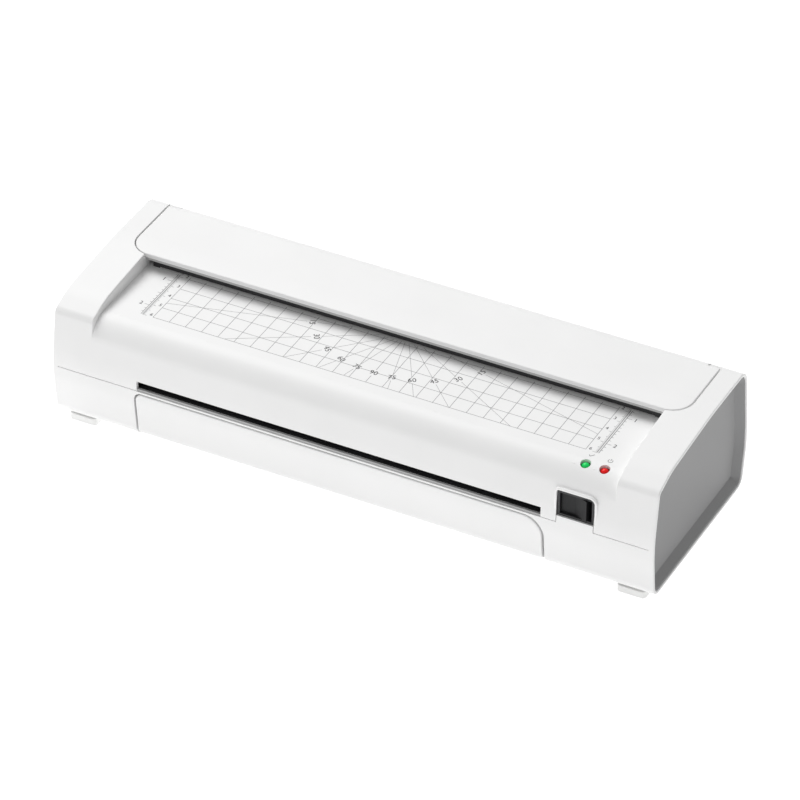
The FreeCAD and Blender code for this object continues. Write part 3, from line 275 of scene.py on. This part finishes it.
layered("board_green", "ShaderNodeTexVoronoi", 420.0, (0.03, 0.16, 0.06), (0.05, 0.25, 0.1), 0.3, 0.00002,
        squeeze=(1.0, 0.35, 1.0))
layered("element", "ShaderNodeTexVoronoi", 600.0, (0.42, 0.3, 0.17), (0.66, 0.52, 0.34), 0.55, 0.00003)
layered("mat_grey", "ShaderNodeTexNoise", 1800.0, (0.2, 0.2, 0.21), (0.3, 0.3, 0.31), 0.7, 0.00002)
layered("wire", "ShaderNodeTexWave", 260.0, (0.2, 0.04, 0.03), (0.45, 0.1, 0.08), 0.45, 0.00008,
        squeeze=(0.0, 0.0, 1.0))
print("layered finishes ready, all finishes", len(FINISHES))

# %% [markdown]
# ## Lamps
# Each lamp is a tinted dome over a small light. The dome is brightest where it is nearest the light inside
# and deeper in colour lower down, so its tone follows the height above the lamp's own collar.

# %% lamp finishes
DOME_DEPTH = 2.5 * MM


def lamp_finish(name, node, deep, bright, glow):
    material, tree, shader, place = new_finish(name)
    low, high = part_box(node)
    split = tree.nodes.new("ShaderNodeSeparateXYZ")
    tree.links.new(place, split.inputs["Vector"])
    rise = tree.nodes.new("ShaderNodeMapRange")
    rise.inputs["From Min"].default_value = high.z - DOME_DEPTH
    rise.inputs["From Max"].default_value = high.z
    tree.links.new(split.outputs["Z"], rise.inputs["Value"])
    colour = tones(tree, rise.outputs["Result"], deep, bright, 0.0, 1.0)
    tree.links.new(colour, shader.inputs["Base Color"])
    tree.links.new(colour, shader.inputs["Emission Color"])
    shader.inputs["Emission Strength"].default_value = glow
    shader.inputs["Roughness"].default_value = 0.3
    shader.inputs["Specular IOR Level"].default_value = 0.25
    FINISHES[name] = material
    print(name, "dome top at", round(high.z / MM, 2), "mm")


lamp_finish("lamp_green", "green_lamp", (0.0, 0.2, 0.04), (0.01, 0.62, 0.12), 0.2)
lamp_finish("lamp_red", "red_lamp", (0.25, 0.0, 0.0), (0.75, 0.01, 0.01), 0.2)

# %% [markdown]
# ## Finishes on the frame
# Every part of the frame arrives with a plain colour named after its finish. Each is swapped for the finish
# of that name, in its material slot, which leaves the part's shape and place alone.

# %% dress the frame
known = {m["slot"] for m in frame["record"]["materials"]}
dressed = 0


def finish_name(place):
    """The finish a material slot holds, without a number Blender may have added to the name."""
    return place.material.name.split(".")[0]


for node in frame["nodes"].values():
    for place in node.material_slots:
        place.material = FINISHES[finish_name(place)]
        dressed += 1
print("dressed", dressed, "slots; record's finishes not made:", sorted(known - set(FINISHES)))

# %% [markdown]
# ## Ways to add a piece
# New pieces are built in a bmesh, in place, and handed over with three facts: the body they ride on, the
# finish, and the angle above which an edge stays sharp. A bar between two corners is the commonest shape.

# %% piece helpers
MERGE = 1e-7


def add_bar(bm, low, high):
    """One closed box between two corners."""
    low, high = Vector(low), Vector(high)
    size = high - low
    place = Matrix.Translation((low + high) / 2) @ Matrix.Diagonal((*size, 1.0))
    bmesh.ops.create_cube(bm, size=1.0, matrix=place)


def hand_over(name, bm, body, slot, sharp=35.0):
    """Turn a bmesh into a finished piece that rides on a body."""
    bmesh.ops.remove_doubles(bm, verts=bm.verts, dist=MERGE)
    bmesh.ops.recalc_face_normals(bm, faces=bm.faces)
    mesh = bpy.data.meshes.new(name)
    bm.to_mesh(mesh)
    bm.free()
    mesh.polygons.foreach_set("use_smooth", [True] * len(mesh.polygons))
    mesh.set_sharp_from_angle(angle=math.radians(sharp))
    mesh.materials.append(FINISHES[slot])
    piece = bpy.data.objects.new(name, mesh)
    bpy.context.scene.collection.objects.link(piece)
    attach(piece, body)
    print(name, "rides on", body, "faces", len(mesh.polygons))
    return piece


# %% [markdown]
# ## Printed scale: where it lies
# The bed carries a printed sheet: a 10 mm grid, a fan of cutting angles and two rulers, all measured from the
# line where the blade cuts. The bed's height and that line are read from the frame's own parts, so the
# print always lies on the bed. It is ink, so it stands only a few hundredths of a millimetre proud.

# %% print measurements
mat_low, mat_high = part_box("cutting_mat")
BED = mat_high.z
BLADE_INSET = 1.4 * MM
CLAMP_CLEARANCE = 0.9 * MM
PRINT_DEPTH = 60 * MM
CUT = mat_low.y + BLADE_INSET
PRINT_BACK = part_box("clamp_bar")[0].y - CLAMP_CLEARANCE
PRINT_FRONT = CUT - PRINT_DEPTH
GRID_HALF = 130 * MM
INK_LOW = BED - 0.02 * MM
INK_HIGH = BED + 0.05 * MM
HAIR = 0.18 * MM
FINE = 0.24 * MM
BOLD = 0.36 * MM
ink = bmesh.new()
print("bed at", round(BED / MM, 2), "cut line at", round(CUT / MM, 2))


def ink_line(start, end, width):
    """A printed stroke between two points on the bed."""
    start, end = Vector((*start, 0.0)), Vector((*end, 0.0))
    run = end - start
    middle = (start + end) / 2
    middle.z = (INK_LOW + INK_HIGH) / 2
    turn = Matrix.Rotation(math.atan2(run.y, run.x), 4, "Z")
    size = Matrix.Diagonal((run.length, width, INK_HIGH - INK_LOW, 1.0))
    bmesh.ops.create_cube(ink, size=1.0, matrix=Matrix.Translation(middle) @ turn @ size)


# %% [markdown]
# ## Printed scale: grid and fan
# Grid lines run every 10 mm both ways. The fan's rays leave one point under the clamp bar, every 15 degrees.
# Each breaks off round its figure and stops at the first edge of the grid that it meets. The figures stand on
# a flattened circle, which keeps them on the sheet.

# %% grid and fan
GRID_STEP = 10 * MM
GRID_COLUMNS = 13
GRID_ROWS = range(2, 7)
RAYS = range(15, 180, 15)
FAN_Y = 13.0 * MM
FAN_WIDE = 54.5 * MM
FAN_DEEP = 40.2 * MM
FIGURE_SPACE = 2.9 * MM


def fan_reach(degrees):
    """How far out an angle's figure stands, on the flattened circle."""
    turn = math.radians(degrees)
    return 1 / math.hypot(math.cos(turn) / FAN_WIDE, math.sin(turn) / FAN_DEEP)


for k in range(-GRID_COLUMNS, GRID_COLUMNS + 1):
    if k != 0:
        ink_line((k * GRID_STEP, PRINT_FRONT), (k * GRID_STEP, PRINT_BACK), FINE)
for k in GRID_ROWS:
    ink_line((-GRID_HALF, CUT - k * GRID_STEP), (GRID_HALF, CUT - k * GRID_STEP), FINE)
for degrees in RAYS:
    way = Vector((math.cos(math.radians(degrees)), -math.sin(math.radians(degrees))))
    start = (FAN_Y - PRINT_BACK) / -way.y
    end = (FAN_Y - PRINT_FRONT) / -way.y
    if abs(way.x) > 1e-6:
        end = min(end, GRID_HALF / abs(way.x))
    figure = fan_reach(degrees)
    width = FINE if degrees == 90 else HAIR
    for near, far in ((start, figure - FIGURE_SPACE), (figure + FIGURE_SPACE, end)):
        ink_line((way.x * near, FAN_Y + way.y * near), (way.x * far, FAN_Y + way.y * far), width)
print("strokes so far", len(ink.faces) // 6)

# %% [markdown]
# ## Printed scale: rulers
# A ruler stands at each side, with millimetres on its inner edge and eighths of an inch on its outer one.
# Longer ticks mark fives and tens, halves and inches.

# %% rulers
RULER_X = 137 * MM
RULER_HALF = 0.5 * MM
EIGHTH = 25.4 * MM / 8
TICK = 0.2 * MM
MILLIMETRES = range(13, 61)
EIGHTHS = range(5, 19)
MILLIMETRE_REACHES = ((10, 2.6), (5, 1.9), (1, 1.2))
EIGHTH_REACHES = ((8, 3.0), (4, 2.0), (1, 1.3))


def tick_reach(n, reaches):
    """How far tick n stands out. The first step that divides it decides."""
    return next(reach * MM for step, reach in reaches if n % step == 0)


for side in (-1, 1):
    for offset in (-RULER_HALF, RULER_HALF):
        x = side * RULER_X + offset
        ink_line((x, PRINT_FRONT), (x, PRINT_BACK), BOLD)
    inner = side * (RULER_X - RULER_HALF)
    outer = side * (RULER_X + RULER_HALF)
    for n in MILLIMETRES:
        y = CUT - n * MM
        ink_line((inner, y), (inner - side * tick_reach(n, MILLIMETRE_REACHES), y), TICK)
    for n in EIGHTHS:
        y = CUT - n * EIGHTH
        ink_line((outer, y), (outer + side * tick_reach(n, EIGHTH_REACHES), y), TICK)
print("strokes so far", len(ink.faces) // 6)

# %% [markdown]
# ## Printed scale: figures
# Figures are text turned into a mesh, because only a mesh can be laid on the bed. They are a piece of their
# own, apart from the strokes.
# Each angle figure is turned so that its top points to the middle of the fan.

# %% figures
FIGURE = 4.8 * MM
CENTIMETRE_FIGURE = 3.4 * MM
CENTIMETRE_X = GRID_HALF + 2.0 * MM
CENTIMETRE_LIFT = 1.8 * MM
INCH_FIGURE = 4.0 * MM
INCH_X = RULER_X + 5.6 * MM
figures = bmesh.new()


def ink_figure(text, x, y, size=FIGURE, turn=0.0):
    """A printed number with its middle at a point on the bed."""
    curve = bpy.data.curves.new("figure", "FONT")
    curve.body = text
    curve.size = size
    curve.align_x = "CENTER"
    curve.align_y = "CENTER"
    curve.resolution_u = 3
    curve.extrude = (INK_HIGH - INK_LOW) / 2
    holder = bpy.data.objects.new("figure", curve)
    bpy.context.scene.collection.objects.link(holder)
    bpy.context.view_layer.update()
    shape = bpy.data.meshes.new_from_object(holder.evaluated_get(bpy.context.evaluated_depsgraph_get()))
    place = Matrix.Translation((x, y, (INK_LOW + INK_HIGH) / 2))
    shape.transform(place @ Matrix.Rotation(turn, 4, "Z"))
    figures.from_mesh(shape)
    bpy.data.objects.remove(holder)
    bpy.data.meshes.remove(shape)
    bpy.data.curves.remove(curve)


for degrees in RAYS:
    angle = math.radians(degrees)
    reach = fan_reach(degrees)
    ink_figure(str(min(degrees, 180 - degrees)), reach * math.cos(angle), FAN_Y - reach * math.sin(angle),
               turn=math.pi / 2 - angle)
for side in (-1, 1):
    for centimetres in GRID_ROWS:
        y = CUT - centimetres * GRID_STEP + CENTIMETRE_LIFT
        ink_figure(str(centimetres), side * CENTIMETRE_X, y, CENTIMETRE_FIGURE)
    for inches in (1, 2):
        ink_figure(str(inches), side * INCH_X, CUT - inches * 8 * EIGHTH, INCH_FIGURE)
hand_over("printed_scale", ink, "case", "panel_grey")
hand_over("scale_figures", figures, "case", "black_plastic")

# %% [markdown]
# ## Marks behind the lamps
# Each lamp has a small printed mark: a tick for ready, and the usual ring and bar for power. The ring is an
# arc of a few strokes, spun round its middle, and left open where the bar comes in.

# %% lamp marks
ink = bmesh.new()
green_low, green_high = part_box("green_lamp")
red_low, red_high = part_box("red_lamp")
MARK_Y = green_high.y + 4.4 * MM
TICK_STROKE = 0.4 * MM
RING_STROKE = 0.35 * MM
RING = 1.3 * MM
RING_START = 130
RING_TURN = 280
RING_STEPS = 20
RING_OVERLAP = 1.05
tick_x = (green_low.x + green_high.x) / 2
power_x = (red_low.x + red_high.x) / 2
ink_line((tick_x - 1.3 * MM, MARK_Y), (tick_x - 0.3 * MM, MARK_Y - 1.0 * MM), TICK_STROKE)
ink_line((tick_x - 0.4 * MM, MARK_Y - 1.05 * MM), (tick_x + 1.5 * MM, MARK_Y + 1.2 * MM), TICK_STROKE)
for k in range(RING_STEPS):
    a, b = (math.radians(RING_START + RING_TURN * (k + d) / RING_STEPS) for d in (0, RING_OVERLAP))
    ink_line((power_x + RING * math.cos(a), MARK_Y + RING * math.sin(a)),
             (power_x + RING * math.cos(b), MARK_Y + RING * math.sin(b)), RING_STROKE)
ink_line((power_x, MARK_Y + 0.2 * MM), (power_x, MARK_Y + 1.8 * MM), RING_STROKE)
hand_over("lamp_marks", ink, "case", "panel_grey")

# %% [markdown]
# ## Raised rim round the switch
# The wall leans back here, so the moulding swells into an upright rim that the switch sits in. It starts
# as one flat face in the shape of an arch; its corners are rounded, it is pulled out, and its front edges are
# softened. The front face is kept behind the case's foremost line.

# %% switch rim
switch_low, switch_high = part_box("switch_body")
GAP = 0.4 * MM
RIM_WIDTH = 1.5 * MM
RIM_FOOT = 0.5 * MM
RIM_PROUD = 0.75 * MM
RIM_DEPTH = 3.2 * MM
RIM_EDGE = 0.45 * MM
left, right = switch_low.x - GAP, switch_high.x + GAP
top = switch_high.z + GAP
foot = switch_low.z - RIM_FOOT
rim_front = switch_low.y - RIM_PROUD
rim_back = rim_front + RIM_DEPTH
arch = [(left - RIM_WIDTH, foot), (left - RIM_WIDTH, top + RIM_WIDTH), (right + RIM_WIDTH, top + RIM_WIDTH),
        (right + RIM_WIDTH, foot), (right, foot), (right, top), (left, top), (left, foot)]
corner_round = {1: 3.0, 2: 4.5, 5: 3.0, 6: 1.5}
rim = bmesh.new()
corners = [rim.verts.new((x, rim_back, z)) for x, z in arch]
rim.faces.new(corners)
for index, radius in corner_round.items():
    bmesh.ops.bevel(rim, geom=[corners[index]], offset=radius * MM, offset_type="OFFSET", segments=7,
                    profile=0.5, affect="VERTICES", material=-1)
pulled = bmesh.ops.extrude_face_region(rim, geom=rim.faces[:])
moved = [g for g in pulled["geom"] if isinstance(g, bmesh.types.BMVert)]
bmesh.ops.translate(rim, verts=moved, vec=(0.0, rim_front - rim_back, 0.0))
front_edges = [e for e in rim.edges if all(abs(v.co.y - rim_front) < 1e-7 for v in e.verts)]
bmesh.ops.bevel(rim, geom=front_edges, offset=RIM_EDGE, offset_type="OFFSET", segments=3, profile=0.5,
                affect="EDGES", material=-1)
hand_over("switch_rim", rim, "case", "case_white", sharp=50.0)

# %% [markdown]
# ## Grip ribs on the trimmer's button
# A thumb slides and presses this button, so it has low ribs across its travel. They are softened bars that
# stop short of the button's edges and stay under the closed lid.

# %% button ribs
cap_low, cap_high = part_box("cutter_button")
ribs = bmesh.new()
RIB_COUNT = 5
RIB_PITCH = 3.4 * MM
RIB_HALF = 0.6 * MM
RIB_INSET = 1.4 * MM
RIB_SUNK = 0.1 * MM
RIB_HEIGHT = 0.35 * MM
RIB_EDGE = 0.2 * MM
for k in range(RIB_COUNT):
    x = (cap_low.x + cap_high.x) / 2 + (k - (RIB_COUNT - 1) / 2) * RIB_PITCH
    add_bar(ribs, (x - RIB_HALF, cap_low.y + RIB_INSET, cap_high.z - RIB_SUNK),
            (x + RIB_HALF, cap_high.y - RIB_INSET, cap_high.z + RIB_HEIGHT))
bmesh.ops.bevel(ribs, geom=ribs.edges[:], offset=RIB_EDGE, offset_type="OFFSET", segments=2, profile=0.5,
                affect="EDGES", material=-1)
hand_over("button_ribs", ribs, "button", "button_blue", sharp=60.0)

# %% [markdown]
# ## Rivets on the rail's end blocks
# Each end block is held by a hollow rivet. Half of its outline, from the axis out and back, is spun a full
# turn, which is the shortest way to any turned part, and the spin's seam is merged.

# %% rail rivets
rivets = bmesh.new()
blocks_low, blocks_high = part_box("rail_end_blocks")
BLOCK_HALF = 2.75 * MM
RIVET_INSET = 3.2 * MM
RIVET_STEPS = 28
outline = [(0.0, 0.35), (0.9, 0.35), (1.0, 0.9), (1.9, 0.9), (2.25, 0.55), (2.3, -0.2), (0.0, -0.2)]
for x in (blocks_low.x + BLOCK_HALF, blocks_high.x - BLOCK_HALF):
    for y in (blocks_low.y + RIVET_INSET, blocks_high.y - RIVET_INSET):
        verts = [rivets.verts.new((x + r * MM, y, blocks_high.z + h * MM)) for r, h in outline]
        edges = [rivets.edges.new(pair) for pair in zip(verts, verts[1:])]
        bmesh.ops.spin(rivets, geom=verts + edges, cent=(x, y, blocks_high.z), axis=(0.0, 0.0, 1.0),
                       dvec=(0.0, 0.0, 0.0), angle=2 * math.pi, steps=RIVET_STEPS, use_merge=True)
hand_over("rail_rivets", rivets, "case", "steel")

# %% [markdown]
# ## Spring copies
# A spring is a fixed solid in the frame, so by itself it can't shorten when its joint moves. Each set of
# springs is shown by a joined-up copy of its own mesh, which rides on the joint's parent body, and the
# frame's own springs are hidden. The copy keeps its full height.

# %% springs
for joint in frame["record"]["behaviour"]["joints"]:
    for soft in joint.get("deforming_nodes", []):
        node = frame["nodes"][soft["node"]]
        slot = finish_name(node.material_slots[0])
        coils = bmesh.new()
        coils.from_mesh(node.data)
        springs = hand_over("flexing_" + soft["node"], coils, joint["parent"], slot)
        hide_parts(soft["node"])
        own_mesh(springs)

# %% [markdown]
# ## Floor
# A large pale sheet under the machine takes its soft shadow. It glows a little, as a lit table does, so that
# the shadow stays faint and the front is lit from below. It isn't part of the machine, so it rides on no
# body.

# %% floor
floor_mesh = bmesh.new()
bmesh.ops.create_grid(floor_mesh, x_segments=1, y_segments=1, size=6.0)
floor_data = bpy.data.meshes.new("floor")
floor_mesh.to_mesh(floor_data)
floor_mesh.free()
FLOOR_GLOW = 0.793
moulded("pale_floor", (0.6, 0.6, 0.6), 0.8, grain=300.0, depth=0.00001, cloud=0.003, specular=0.1)
floor_shader = FINISHES["pale_floor"].node_tree.nodes["Principled BSDF"]
floor_shader.inputs["Emission Color"].default_value = (1.0, 1.0, 1.0, 1.0)
floor_shader.inputs["Emission Strength"].default_value = FLOOR_GLOW
floor_data.materials.append(FINISHES["pale_floor"])
floor = bpy.data.objects.new("floor", floor_data)
bpy.context.scene.collection.objects.link(floor)
print("floor at z = 0")
